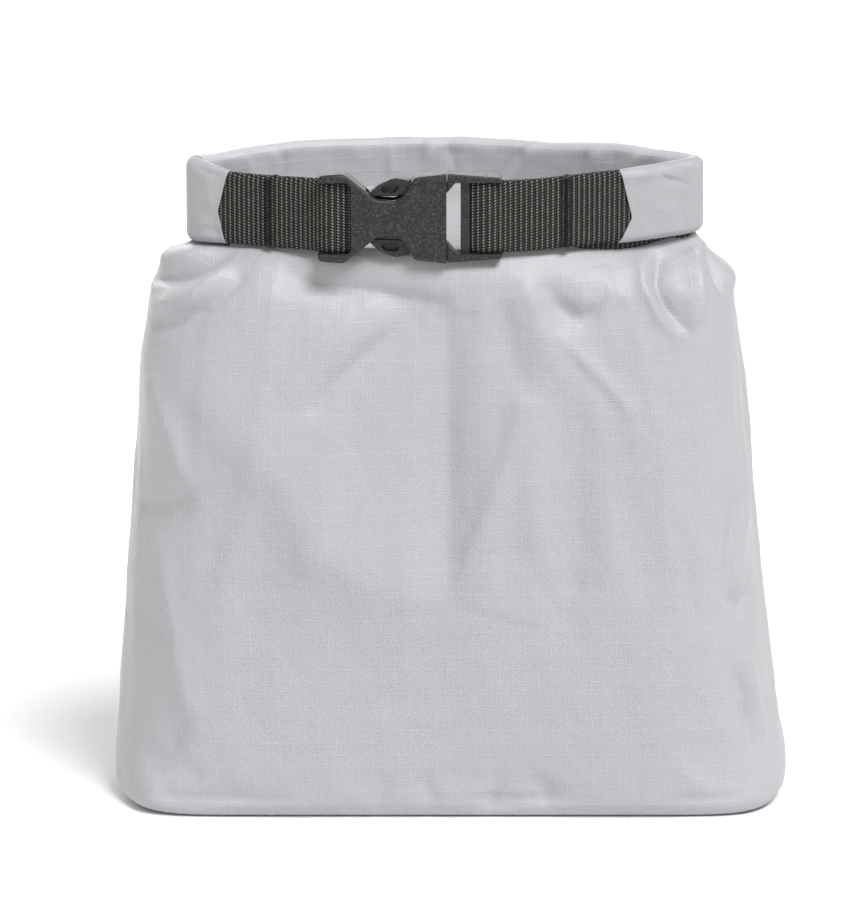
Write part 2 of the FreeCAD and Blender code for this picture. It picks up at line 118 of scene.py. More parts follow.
def grid_mesh(name, points, around, uv=None, caps=False):
    """A mesh from points[row, column, xyz]; around joins the last column to the first.
    uv[row, column] are in metres. Where around is true it has one more column than points."""
    rows, columns = points.shape[:2]
    index = np.arange(rows * columns).reshape(rows, columns)
    last = columns if around else columns - 1
    faces, corners = [], []
    for r in range(rows - 1):
        for c in range(last):
            n = (c + 1) % columns
            faces.append((index[r, c], index[r, n], index[r + 1, n], index[r + 1, c]))
            corners.append(((r, c), (r, c + 1), (r + 1, c + 1), (r + 1, c)))
    if caps:
        faces.append(tuple(index[0, ::-1]))
        faces.append(tuple(index[-1, :]))
        corners.append([(0, c) for c in range(columns)][::-1])
        corners.append([(rows - 1, c) for c in range(columns)])
    mesh = bpy.data.meshes.new(name)
    mesh.from_pydata((points.reshape(-1, 3) * MM).tolist(), [], [tuple(map(int, f)) for f in faces])
    if uv is not None:
        layer = mesh.uv_layers.new(name="UVMap")
        flat = np.array([uv[r, c] for corner in corners for r, c in corner], float)
        layer.data.foreach_set("uv", flat.ravel())
    mesh.update()
    obj = bpy.data.objects.new(name, mesh)
    bpy.context.scene.collection.objects.link(obj)
    for polygon in mesh.polygons:
        polygon.use_smooth = True
    return obj


def only(obj):
    """Makes an object the only one selected, and the active one."""
    bpy.ops.object.select_all(action="DESELECT")
    obj.select_set(True)
    bpy.context.view_layer.objects.active = obj


def apply_all(obj):
    """Applies every modifier."""
    only(obj)
    for modifier in list(obj.modifiers):
        bpy.ops.object.modifier_apply(modifier=modifier.name)
    return obj


def finer(obj):
    """Subdivides a mesh once."""
    modifier = obj.modifiers.new("finer", "SUBSURF")
    modifier.levels = 1
    modifier.render_levels = 1
    modifier.uv_smooth = "PRESERVE_BOUNDARIES"
    return apply_all(obj)


def outward(obj):
    """Makes the faces' normals point out of a closed mesh."""
    only(obj)
    bpy.ops.object.mode_set(mode="EDIT")
    bpy.ops.mesh.select_all(action="SELECT")
    bpy.ops.mesh.normals_make_consistent(inside=False)
    bpy.ops.object.mode_set(mode="OBJECT")
    return obj


def weld(obj, distance):
    """Joins points that are closer than a distance in millimetres."""
    modifier = obj.modifiers.new("weld", "WELD")
    modifier.merge_threshold = distance * MM
    return apply_all(obj)


def vertices(obj):
    """A mesh's points, in millimetres."""
    co = np.empty(len(obj.data.vertices) * 3)
    obj.data.vertices.foreach_get("co", co)
    return co.reshape(-1, 3) / MM


def set_vertices(obj, points):
    obj.data.vertices.foreach_set("co", (points * MM).ravel())
    obj.data.update()


def normals(obj):
    no = np.empty(len(obj.data.vertices) * 3)
    obj.data.vertices.foreach_get("normal", no)
    return no.reshape(-1, 3)


# ---- the bag's fabric: one shell of rings from the base's middle line up to the roof's

COLUMNS = 112  # across the front, and again across the back
WALL = [
    # height, left side, right side, half depth, how square the outline is
    (0.0, -112.5, 117.0, 34.0, 15.0),
    (1.0, -116.0, 120.4, 36.0, 15.0),
    (3.0, -119.0, 122.6, 37.2, 14.0),
    (8.0, -121.0, 124.4, 37.8, 12.0),
    (16.0, -121.0, 124.2, 38.0, 10.0),
    (34.0, -118.8, 121.0, 38.6, 8.0),
    (72.0, -116.0, 116.2, 39.4, 6.6),
    (110.0, -113.8, 112.0, 39.4, 6.0),
    (147.0, -111.8, 108.5, 38.4, 5.2),
    (170.0, -109.8, 107.0, 37.2, 4.6),
    (182.0, -107.8, 105.7, 36.2, 4.2),
]
LEFT_TIP, RIGHT_TIP = -91.0, 89.2  # x of the ring's two corners
WALL_TOP = 182.0
NECK_HIGH, NECK_IN = 209.4, 3.2
NECK_DIP, NECK_RISE = 1.8, 1.2  # lower beside the sleeves, higher at the right tip
ROOF_SAG, ROOF_CLIMB = 3.2, 13.0


def wall_ring(z, across, side):
    """The outline's points at one height, for places -1 to 1 across the bag."""
    (left, right, depth, power), = table(WALL, [z])
    x = (left + right) / 2 + (right - left) / 2 * across
    y = side * depth * (1 - np.abs(across) ** power) ** (1 / 2.3)
    return np.stack([x, y, np.full_like(x, z)], 1)


def neck_ring(across, side):
    """Where the fabric goes up into the roll, and between the sleeves turns back over the roof."""
    x = (LEFT_TIP + RIGHT_TIP) / 2 + (RIGHT_TIP - LEFT_TIP) / 2 * across
    front, back = front_arc(x), back_arc(x)
    room = np.minimum(1, (back - front) / 12)
    y = front + NECK_IN * room if side < 0 else back + 0.6 * room
    tip = np.abs(across) ** 30
    y = y * (1 - tip) - 2.0 * tip
    if side < 0:
        left_dip = ease((-x - 62) / 18)
        right_dip = ease((x - 44) / 18) * (1 - ease((x - 64) / 20))
        dip = np.where(x < 0, left_dip, right_dip)
    else:
        dip = ease((-x - 80) / 8)
    z = NECK_HIGH - NECK_DIP * dip + NECK_RISE * ease((x - 70) / 16)
    return np.stack([x, y, z], 1)


def shoulder_rings(across, side, count):
    """Rings between the top of the wall and the neck ring."""
    low = wall_ring(WALL_TOP, across, side)
    rise = (low - wall_ring(WALL_TOP - 4, across, side)) / 4
    high = neck_ring(across, side)
    over = low - high
    over[:, 2] = 0
    reach = (high - low)[:, 2:3]
    a = low + rise * reach * 0.6
    bulge = 0.52 - 0.2 * ease((across - 0.75) / 0.25)
    b = high + over * bulge[:, None] - [0, 0, 1] * (reach * 0.24)
    rings = []
    for t in np.linspace(0, 1, count + 1)[1:]:
        s = 1 - t
        rings.append(s**3 * low + 3 * s**2 * t * a + 3 * s * t**2 * b + t**3 * high)
    return rings


def roof_rings(across, side, count):
    """Rings from just inside the neck ring to the middle line of the roof. At the back the cloth
    curves up the inside of the roll."""
    front, back = neck_ring(across, -1), neck_ring(across, 1)
    room = np.clip((back[:, 1] - front[:, 1] - 1) / 30, 0, 1)
    back[:, 1] -= 4.0 * room
    front[:, 1] += 1.5 * room
    rings = []
    for step in 0.5 * np.linspace(0, 1, count) ** 1.6:
        t = step if side > 0 else 1 - step
        ring = back + (front - back) * t
        sag = (ROOF_SAG + 2.2 * (1 - t)) * (4 * t * (1 - t)) ** 0.6
        ring[:, 2] += (ROOF_CLIMB * math.exp(-t / 0.1) - sag) * room
        rings.append(ring)
    return rings


def fabric_rings(across, side):
    """Every ring of one half of the bag, from the base's middle line up to the roof's."""
    foot = wall_ring(0.0, across, side)
    rings = [foot * [1.0, share, 1.0] for share in (0.0, 0.3, 0.6, 0.82, 0.94)]
    heights = [0, 0.5, 1.2, 2.2, 3.5, 5.5, 8, 11, *np.arange(14.5, WALL_TOP - 1, 3.0), WALL_TOP]
    rings += [wall_ring(z, across, side) for z in heights]
    rings += shoulder_rings(across, side, 16)
    rings += roof_rings(across, side, 11)
    return rings


def distance_along(points):
    """Running length along rows of points, measured from the middle one."""
    step = np.linalg.norm(np.diff(points, axis=0), axis=1)
    run = np.concatenate([[0], np.cumsum(step)])
    return run - run[len(run) // 2]


def make_fabric():
    """One grid for each side with the fabric's own measure as UV, joined at the side seams."""
    across = np.sin(np.linspace(-math.pi / 2, math.pi / 2, COLUMNS + 1))
    halves = []
    for side in (-1, 1):
        rings = np.array(fabric_rings(across, side))
        middle = rings[:, COLUMNS // 2]
        height = np.concatenate([[0], np.cumsum(np.linalg.norm(np.diff(middle, axis=0), axis=1))])
        uv = np.zeros((*rings.shape[:2], 2))
        for r, ring in enumerate(rings):
            uv[r, :, 0] = distance_along(ring) * MM
            uv[r, :, 1] = height[r] * MM
        if side > 0:
            rings, uv = rings[:, ::-1], uv[:, ::-1]
            uv = uv + [0.4, 0]
        halves.append(grid_mesh("half", rings, False, uv))
    only(halves[0])
    halves[1].select_set(True)
    bpy.ops.object.join()
    fabric = halves[0]
    fabric.name = fabric.data.name = "bag_fabric"
    weld(fabric, 0.05)
    return outward(fabric)


CLOTH_FRAMES = 16
CLOTH_LIMIT = 1.3  # how far a point may move
CLOTH = {
    "quality": 5,
    "mass": 0.1,
    "tension_stiffness": 22,
    "compression_stiffness": 22,
    "shear_stiffness": 12,
    "bending_stiffness": 1.2,
    "tension_damping": 8,
    "compression_damping": 8,
    "shear_damping": 8,
    "bending_damping": 1.5,
    "air_damping": 3,
    "pin_stiffness": 1,
    "use_pressure": True,
    "uniform_pressure_force": 1.6,
    "shrink_min": -0.009,
    "shrink_max": -0.009,
}


def hang(obj):
    """Runs a cloth simulation with air inside the bag, the base and the neck held."""
    before = vertices(obj)
    held = obj.vertex_groups.new(name="held")
    z = before[:, 2]
    for i, weight in enumerate(np.maximum(ease((z - 186) / 14), ease((6 - z) / 5))):
        if weight > 0.01:
            held.add([i], float(weight), "REPLACE")
    cloth = obj.modifiers.new("cloth", "CLOTH")
    for name, value in CLOTH.items():
        setattr(cloth.settings, name, value)
    cloth.settings.effector_weights.gravity = 0.35
    cloth.settings.vertex_group_mass = "held"
    cloth.collision_settings.use_collision = False
    cloth.collision_settings.use_self_collision = False
    cloth.point_cache.frame_start = 1
    cloth.point_cache.frame_end = CLOTH_FRAMES
    scene = bpy.context.scene
    for step in range(1, CLOTH_FRAMES + 1):
        scene.frame_set(step)
    evaluated = obj.evaluated_get(bpy.context.evaluated_depsgraph_get())
    after = np.array([v.co for v in evaluated.data.vertices], float) / MM
    obj.modifiers.clear()
    obj.vertex_groups.clear()
    scene.frame_set(1)
    move = after - before
    size = np.linalg.norm(move, axis=1)[:, None]
    reach = CLOTH_LIMIT * np.tanh(size / CLOTH_LIMIT)
    set_vertices(obj, before + move / np.maximum(size, 1e-6) * reach)
    return obj


# Folds of the front. Each is a line of (x, z) points, how wide it is to the left of the line and
# to its right (seen along the line), and how high it stands; a minus height is a valley.
FOLDS = [
    # the swag across the middle: the cloth above it leans back to the buckle
    ([(-97, 168), (-79, 149), (-58, 127), (-47, 103), (-24, 90), (0, 83)], 40, 24, 6.4),
    # the straight crease down from the buckle and the dart beside it
    ([(0.5, 84), (0.5, 122), (0.5, 160), (0.5, 188)], 13, 8, -4.2),
    ([(28, 160), (17, 121), (1.5, 84)], 12, 6, 3.2),
    ([(31, 158), (32, 130), (31, 102)], 9, 12, 2.0),
    ([(48, 152), (47, 120), (43, 84)], 17, 15, -2.2),
    ([(34, 94), (41, 76), (48, 96)], 9, 9, -1.4),
    # folds fanning out from the right sleeve
    ([(76, 206), (75, 198), (78, 189), (85, 180)], 4.4, 3.0, -4.6),
    ([(69, 206), (70, 196), (76, 185), (84, 177)], 5.5, 3.0, 2.8),
    ([(88, 206), (90, 197), (90, 188), (87, 180)], 3.0, 6.5, 4.0),
    ([(93, 206), (97, 198), (101, 187)], 3.6, 2.0, -4.0),
    ([(97, 205), (102, 197), (104, 188)], 2.2, 3.4, 2.8),
    ([(34, 198), (40, 190), (49, 185), (55, 190), (57, 205)], 6.0, 6.0, -3.6),
    ([(56, 204), (58, 195), (55, 186)], 3.0, 8.0, 2.6),
    ([(27, 199), (37, 181), (55, 164), (67, 150)], 5.0, 12.0, 4.0),
    ([(33, 191), (40, 177), (54, 161), (62, 151)], 8.0, 6.5, -3.4),
    ([(20, 193), (24, 170), (30, 158)], 9.0, 9.0, -2.0),
    # the hollow under the buckle
    ([(-60, 201), (-30, 196.5), (-1, 190)], 7.5, 12.0, -6.2),
    ([(-9, 188), (-30, 172), (-50, 152)], 10.0, 5.5, -3.2),
    ([(-22, 196), (-42, 178), (-60, 160)], 12.0, 10.0, 1.8),
    # folds fanning out from the left sleeve
    ([(-78, 206), (-92, 202), (-105, 199)], 2.4, 5.0, 3.4),
    ([(-78, 204), (-91, 198), (-106, 193)], 2.2, 2.6, -4.4),
    ([(-77, 202), (-90, 191), (-106, 184)], 4.5, 6.0, 4.4),
    ([(-71, 201), (-86, 187), (-104, 177)], 4.0, 7.0, -3.2),
    # the left edge: two long ridges, each ending in a dent that runs out to the side seam
    ([(-107, 170), (-99, 146), (-90.5, 122)], 6.0, 10.0, 2.8),
    ([(-90.5, 121), (-101, 115), (-112, 112)], 9.0, 5.0, -2.4),
    ([(-104, 106), (-98, 70), (-93, 36)], 6.0, 9.0, 2.4),
    ([(-93, 35), (-101, 25), (-111, 19)], 7.0, 5.0, -2.4),
    ([(-112, 74), (-106, 70), (-98, 65)], 6.0, 9.0, -1.2),
    # the right edge's long ridge and its small folds
    ([(110, 143), (108, 116), (105, 84)], 3.0, 5.0, 2.6),
    ([(104, 118), (102, 96), (101, 78)], 3.5, 3.5, -2.2),
    ([(102, 81), (106, 76), (110, 82)], 4.0, 4.0, -2.4),
    ([(104, 54), (108, 44), (112, 22)], 3.5, 3.5, -2.6),
    ([(110, 60), (112, 44), (116, 26)], 2.6, 4.0, 2.6),
    # puckers where the front meets the base
    ([(-26, 1), (-24, 8), (-20, 16)], 4.0, 4.0, -1.4),
    ([(-4, 1), (-5, 8), (-8, 17)], 5.0, 3.0, -1.4),
    ([(16, 1), (17, 8), (20, 15)], 4.0, 4.0, -1.4),
    ([(37, 1), (36, 9), (33, 17)], 5.0, 5.0, -1.4),
]
# The back has softer folds of the same kind: turned round, a little wider and lower down.
BACK_TURN = (-0.93, 0.96)
BACK_SHIFT = (7.0, 9.0)
BACK_SHARE = 0.8
SMALL_WAVES = [(0.6, 48, 3), (0.22, 18, 5), (0.09, 8, 7)]  # height, size, seed


def fold_lift(points, line, left_width, right_width, height):
    """How far a fold moves points (x, z): most on its line, less away from it and at its ends."""
    line = np.array(line, float)
    best = np.full(len(points), 1e9)
    along = np.zeros(len(points))
    side = np.ones(len(points))
    lengths = np.linalg.norm(np.diff(line, axis=0), axis=1)
    start = np.concatenate([[0], np.cumsum(lengths)])
    for i, length in enumerate(lengths):
        d = (line[i + 1] - line[i]) / length
        away = points - line[i]
        t = np.clip(away @ d, 0, length)
        gap = np.linalg.norm(away - t[:, None] * d, axis=1)
        closer = gap < best
        best = np.where(closer, gap, best)
        along = np.where(closer, (start[i] + t) / start[-1], along)
        side = np.where(closer, np.sign(d[0] * away[:, 1] - d[1] * away[:, 0]), side)
    width = np.where(side > 0, left_width, right_width)
    shape = np.exp(-1.7 * (np.sqrt((best / width) ** 2 + 0.09) - 0.3))
    ends = 0.25 + 0.75 * np.sin(np.clip(along, 0.0, 1.0) * math.pi) ** 0.6
    return height * shape * ends


def all_folds(points, turn, shift):
    """How far the folds move points (x, z), once these are turned round and shifted."""
    flat = points * turn + shift
    lift = np.zeros(len(points))
    for fold in FOLDS:
        lift += fold_lift(flat, *fold)
    return lift


def fold_fabric(obj):
    """Lifts and sinks the fabric along its folds, and roughens it with soft small waves."""
    points = vertices(obj)
    direction = normals(obj)
    x, y, z = points.T
    flat = points[:, [0, 2]]
    on_front = ease((10 - y) / 14)
    lift = on_front * all_folds(flat, (1, 1), (0, 0))
    lift += BACK_SHARE * (1 - on_front) * all_folds(flat, BACK_TURN, BACK_SHIFT)
    away_from_seam = np.maximum(ease((np.abs(y) - 4) / 16), ease((z - 186) / 8))
    lift *= 0.25 + 0.75 * away_from_seam
    loose = ease((z - 4) / 12) * ease((206 - z) / 8)
    for height, size, seed in SMALL_WAVES:
        lift += height * soft_noise(points, size, seed) * loose
    free = ease((z - 0.5) / 7) * ease((207.5 - z) / 5)
    inside_ring = np.clip(x, -RING_TIP, RING_TIP)
    roof = (z > 195) & (y > front_arc(inside_ring) + 6) & (y < back_arc(inside_ring) - 4)
    free = np.where(roof, 0.15, free)
    set_vertices(obj, points + direction * (lift * free)[:, None])
    return obj


TAPE_IN, TAPE_THICKNESS = 0.4, 0.25


def on_left_seam(spot):
    return spot[0] < -60 and abs(spot[1]) < 7 and 3 < spot[2] < 195


def on_right_seam(spot):
    return spot[0] > 60 and abs(spot[1]) < 7 and 3 < spot[2] < 195


def on_base_seam(spot):
    return spot[2] < 7 and (abs(spot[1]) > 28 or abs(spot[0]) > 104)


TAPES = {
    "left_seam_tape": on_left_seam,
    "right_seam_tape": on_right_seam,
    "base_seam_tape": on_base_seam,
}


def make_tape(name, fabric, keep):
    """A strip of tape welded inside the fabric, over the faces whose middle keep() picks."""
    obj = bpy.data.objects.new(name, fabric.data.copy())
    obj.data.name = name
    bpy.context.scene.collection.objects.link(obj)
    mesh = bmesh.new()
    mesh.from_mesh(obj.data)
    away = [f for f in mesh.faces if not keep(np.array(f.calc_center_median()) / MM)]
    bmesh.ops.delete(mesh, geom=away, context="FACES")
    for vertex in mesh.verts:
        vertex.co -= vertex.normal * TAPE_IN * MM
    mesh.to_mesh(obj.data)
    mesh.free()
    shell = obj.modifiers.new("film", "SOLIDIFY")
    shell.thickness = TAPE_THICKNESS * MM
    shell.offset = -1
    return apply_all(obj)


# ---- the rolled collar

RING_CORNER = 4.0  # how far to each side of a corner the ring is rounded
FINE_STEP = 0.5
ROLL_GIRTH = 2 * (COLLAR_HIGH - COLLAR_LOW - 2 * COLLAR_HALF) + 2 * math.pi * COLLAR_HALF


def ring_path(start, end, step):
    """Points, outward directions and running length in plan, from x = start on the left front arc
    round the left corner, along the back and round the right corner to x = end on the right
    front arc."""
    left = np.arange(start, LEFT_TIP, -FINE_STEP)
    back = np.arange(LEFT_TIP, RIGHT_TIP, FINE_STEP)
    right = np.arange(RIGHT_TIP, end, -FINE_STEP)
    rough = np.concatenate([
        np.stack([left, front_arc(left)], 1),
        np.stack([back, back_arc(back)], 1),
        np.stack([right, front_arc(right)], 1),
    ])
    run = np.concatenate([[0], np.cumsum(np.linalg.norm(np.diff(rough, axis=0), axis=1))])
    even = np.arange(0, run[-1], FINE_STEP)
    path = np.stack([np.interp(even, run, rough[:, i]) for i in (0, 1)], 1)
    width = int(RING_CORNER / FINE_STEP) * 2 + 1
    kernel = np.hanning(width + 2)[1:-1]
    kernel /= kernel.sum()
    more = np.arange(1, width // 2 + 1)[:, None]
    padded = np.concatenate([
        path[:1] - (path[1:2] - path[:1]) * more[::-1],
        path,
        path[-1:] + (path[-1:] - path[-2:-1]) * more,
    ])
    smooth = np.stack([np.convolve(padded[:, i], kernel, "valid") for i in (0, 1)], 1)
    count = max(int(even[-1] / step), 2) + 1
    at = np.linspace(0, even[-1], count)
    path = np.stack([np.interp(at, even, smooth[:, i]) for i in (0, 1)], 1)
    tangent = np.gradient(path, axis=0)
    tangent /= np.linalg.norm(tangent, axis=1)[:, None]
    out = np.stack([-tangent[:, 1], tangent[:, 0]], 1)
    return path, out, at


def flat_loop(half, low, high, count):
    """A closed flattened section as (offset outwards, height), counter-clockwise, rounded ends."""
    straight = (high - low) - 2 * half
    turn = math.pi * half
    total = 2 * straight + 2 * turn
    rows = []
    for s in np.arange(count) / count * total:
        if s < straight:
            rows.append((half, low + half + s))
        elif s < straight + turn:
            a = (s - straight) / half
            rows.append((half * math.cos(a), high - half + half * math.sin(a)))
        elif s < 2 * straight + turn:
            rows.append((-half, high - half - (s - straight - turn)))
        else:
            a = (s - 2 * straight - turn) / half
            rows.append((-half * math.cos(a), low + half - half * math.sin(a)))
    return np.array(rows)


def sweep(path, out, section):
    """Points of a section swept along a path in plan; section is (offset, height) for each row."""
    points = np.zeros((len(path), section.shape[-2], 3))
    sections = section if section.ndim == 3 else np.repeat(section[None], len(path), 0)
    points[:, :, :2] = path[:, None] + out[:, None] * sections[:, :, :1]
    points[:, :, 2] = sections[:, :, 1]
    return points


ROLL_CREASES = [
    # x at the rim, how far the lower end leans in x, width, height inwards
    (-82.0, 12.0, 2.0, -0.8),
    (-74.0, 9.0, 1.8, 0.8),
    (-63.2, -2.0, 2.0, 1.3),
    (-60.0, -1.0, 0.9, -1.5),
    (-33.0, -5.0, 3.5, 0.5),
    (-21.0, 3.0, 2.0, 0.6),
    (-8.6, -16.0, 1.5, -1.2),
    (-5.0, -16.0, 2.4, 1.1),
    (1.0, 11.0, 2.2, -0.7),
    (16.0, -12.0, 3.2, 0.5),
    (28.0, -24.0, 1.5, -1.1),
    (32.0, -24.0, 2.6, 1.1),
    (42.0, -10.0, 2.8, 0.5),
    (52.0, -18.0, 1.5, -1.2),
    (56.0, -18.0, 2.4, 1.1),
    (63.0, -10.0, 2.4, -0.6),
    (71.0, -24.0, 1.6, 1.3),
    (76.0, -22.0, 2.0, -1.0),
    (82.0, -9.0, 2.0, 0.8),
]


def wrinkle_roll(points, path_x):
    """How far creases lift the faces of the roll."""
    x = path_x[:, None]
    height = (points[:, :, 2] - COLLAR_LOW) / (COLLAR_HIGH - COLLAR_LOW)
    lift = np.zeros(points.shape[:2])
    for place, lean, width, amount in ROLL_CREASES:
        bend = place + lean * (1 - height) * (0.4 + 0.6 * (1 - height))
        gap = (x - bend) / width
        fade = 0.25 + 0.75 * np.sin(np.clip(height, 0, 1) * math.pi * 0.55)
        fade = fade * (0.3 + 0.7 * ease((1.02 - height) / 0.16))
        lift += amount * np.exp(-1.3 * (np.sqrt(gap**2 + 0.04) - 0.2)) * fade
    return lift


def make_roll():
    """The back run of the collar, from corner to corner."""
    path, out, at = ring_path(-90.2, 88.0, 1.0)
    keep = path[:, 1] > -3.0
    path, out, at = path[keep], out[keep], at[keep]
    section = flat_loop(COLLAR_HALF, COLLAR_LOW, COLLAR_HIGH + 1.2, 80)
    points = sweep(path, out, section)
    lift = wrinkle_roll(points, path[:, 0])
    flat = points.reshape(-1, 3)
    lift += (0.5 * soft_noise(flat, 40, 9) + 0.2 * soft_noise(flat, 14, 10)).reshape(lift.shape)
    side = np.sign(section[:, 0])[None, :] * np.minimum(1, np.abs(section[:, 0]) / 1.5)[None, :]
    ends = ease((np.abs(path[:, 0])[:, None] - 90.6) / 1.6)
    amount = np.where(side < 0, lift, 0.5 * lift) * (1 - ends)
    points[:, :, :2] += out[:, None] * (side * np.clip(amount, -2.2, 1.6))[:, :, None]
    level = flat * [1, 1, 0]
    rim = (0.8 * soft_noise(level, 60, 11) + 0.35 * soft_noise(level, 20, 12)).reshape(lift.shape)
    dips = np.clip(lift, -1.2, 1.2) * 0.3
    points[:, :, 2] += (rim + dips) * ease((section[:, 1] - 224) / 12)[None, :] * (1 - ends)
    low_part = ease((222 - section[:, 1]) / 14)[None, :]
    points[:, :, 2] += 3.2 * ease((path[:, 0] - 66) / 22)[:, None] * low_part
    obj = grid_mesh("collar_roll", points, True, roll_uv(at, len(section)), caps=True)
    return outward(finer(obj))


def roll_uv(at, count):
    """The cloth's own measure on a band round the ring: along it, and round its section."""
    v = np.arange(count + 1) / count * ROLL_GIRTH
    uv = np.zeros((len(at), count + 1, 2))
    uv[:, :, 0] = at[:, None] * MM
    uv[:, :, 1] = v[None, :] * MM
    return uv


SLEEVE_SHAPE = {
    # side: (x, z) of the V-shaped edge's top, point and bottom; low and high at the ring's corner
    -1: {"edge": [(-77.0, 234.6), (-80.6, 219.5), (-78.2, 207.6)], "corner": (206.8, 238.3)},
    1: {"edge": [(61.0, 236.6), (65.2, 219.0), (60.8, 209.7)], "corner": (210.4, 238.2)},
}

SLEEVE_FOLDS = {
    -1: [
        ([(-91, 236), (-86, 233.5), (-79, 232)], 1.6, 1.6, -1.0),
        ([(-88, 212), (-84.5, 221), (-86, 231)], 3.0, 3.0, 0.6),
        ([(-91, 210), (-86, 213), (-80, 211)], 2.0, 3.0, -0.6),
    ],
    1: [
        ([(64, 234), (75, 234.5), (84, 232)], 1.6, 2.6, 1.1),
        ([(74, 237.5), (78, 232.5), (87, 229)], 1.4, 2.0, -1.4),
        ([(85, 236), (82.5, 226), (85, 213)], 3.0, 3.0, -0.7),
        ([(68, 228), (76, 222), (86, 220)], 3.0, 4.0, 0.5),
    ],
}


def make_sleeve(name, side):
    """One folded end of the roll, from the ring's corner to its V-shaped edge, open at the edge."""
    path, out, _ = ring_path(-40.0, 30.0, FINE_STEP)
    if side > 0:
        path, out = path[::-1], out[::-1]
    run = np.concatenate([[0], np.cumsum(np.linalg.norm(np.diff(path, axis=0), axis=1))])
    corner = run[np.argmax(path[:, 0] * side)]
    front = run < corner
    low, high = SLEEVE_SHAPE[side]["corner"]
    edge_x, edge_z = np.array(SLEEVE_SHAPE[side]["edge"][::-1]).T
    section = flat_loop(COLLAR_HALF, COLLAR_LOW, COLLAR_HIGH, 72)
    rows = 34
    share = np.linspace(0, 1, rows)
    points = np.zeros((rows, len(section), 3))
    uv = np.zeros((rows, len(section) + 1, 2))
    for j, (offset, z) in enumerate(section):
        up = (z - COLLAR_LOW) / (COLLAR_HIGH - COLLAR_LOW)
        z_corner = low + (high - low) * up
        z_edge = edge_z[0] + (edge_z[2] - edge_z[0]) * up
        x_edge = np.interp(z_edge, edge_z, edge_x)
        if offset < 0:
            x_edge += side * 1.5
        stop = np.interp(abs(x_edge), path[front][:, 0] * side, run[front])
        s = np.linspace(corner + 1.2, stop, rows)
        cx, cy = np.interp(s, run, path[:, 0]), np.interp(s, run, path[:, 1])
        ox, oy = np.interp(s, run, out[:, 0]), np.interp(s, run, out[:, 1])
        squeeze = 1 - 0.34 * ease((share - 0.35) / 0.65)
        points[:, j, 0] = cx + ox * offset * squeeze
        points[:, j, 1] = cy + oy * offset * squeeze
        points[:, j, 2] = z_corner + (z_edge - z_corner) * share
        uv[:, j, 0] = (s - corner) * MM
        uv[:, j, 1] = j / len(section) * ROLL_GIRTH * MM
    uv[:, -1] = uv[:, 0] + [0, ROLL_GIRTH * MM]
    flat = points.reshape(-1, 3)
    ripple = 0.5 * soft_noise(flat, 22, 21 + side) + 0.25 * soft_noise(flat, 9, 31 + side)
    for fold in SLEEVE_FOLDS[side]:
        ripple += fold_lift(flat[:, [0, 2]], *fold)
    strength = np.sin(0.1 + share * math.pi * 0.82)[:, None]
    points[:, :, 1] -= np.sign(section[:, 0])[None, :] * ripple.reshape(rows, -1) * strength
    obj = outward(grid_mesh(name, points, True, uv))
    shell = obj.modifiers.new("cloth", "SOLIDIFY")
    shell.thickness = 0.5 * MM
    shell.offset = -1
    apply_all(obj)
    return finer(obj)


def strap_middle(x, side):
    """The height of a strap's centre line: each tilts a little towards its sleeve."""
    if side < 0:
        return BUCKLE_Z - 1.0 * ease((-x - 46) / 30)
    return BUCKLE_Z + 1.5 * ease((x - 22) / 40)


def make_inner_turns():
    """The turns inside the roll: a plain padded band from sleeve to sleeve."""
    path, out, at = ring_path(-86.5, 86.5, 2.0)
    section = flat_loop(0.9, COLLAR_LOW + 4.5, COLLAR_HIGH - 2.5, 40)
    section[:, 0] += 1.0
    points = sweep(path, out, section)
    return outward(grid_mesh("roll_inner_turns", points, True, roll_uv(at, 40), caps=True))


# ---- webbing

STRAP_LOW, STRAP_HIGH = 209.15, 234.85
STRAP_HALF = 0.66  # half the thickness of one layer
LOOP_RADIUS, LAYERS_APART = 2.5, 0.74
LOOP_SLACK = {-1: 4.5, 1: 3.6}  # how far the loop round each bar stands past it


def strap_line(side):
    """The centre line of a strap in plan, from its bar to its end inside the sleeve."""
    bar = SOCKET_BAR if side < 0 else PLUG_BAR
    if side < 0:
        tangent = -72.8
        join = np.array([tangent, float(front_arc(tangent))])
        run = np.linspace(np.array([bar, BUCKLE_Y]), join, 80)[:-1]
        x = np.arange(tangent, -84.0, -0.4)
        return np.concatenate([run, np.stack([x, front_arc(x)], 1)])
    x = np.arange(bar, 84.0, 0.4)
    y = front_arc(x)
    y = y + (BUCKLE_Y - y[0]) * (1 - ease((x - bar) / 12))
    return np.stack([x, y], 1)


def resample(line, step):
    """Evenly spaced points along a line, and the running length at each."""
    run = np.concatenate([[0], np.cumsum(np.linalg.norm(np.diff(line, axis=0), axis=1))])
    at = np.arange(0, run[-1], step)
    return np.stack([np.interp(at, run, line[:, i]) for i in range(line.shape[1])], 1), at


def normals_of(line):
    tangent = np.gradient(line, axis=0)
    tangent /= np.linalg.norm(tangent, axis=1)[:, None]
    return np.stack([-tangent[:, 1], tangent[:, 0]], 1)


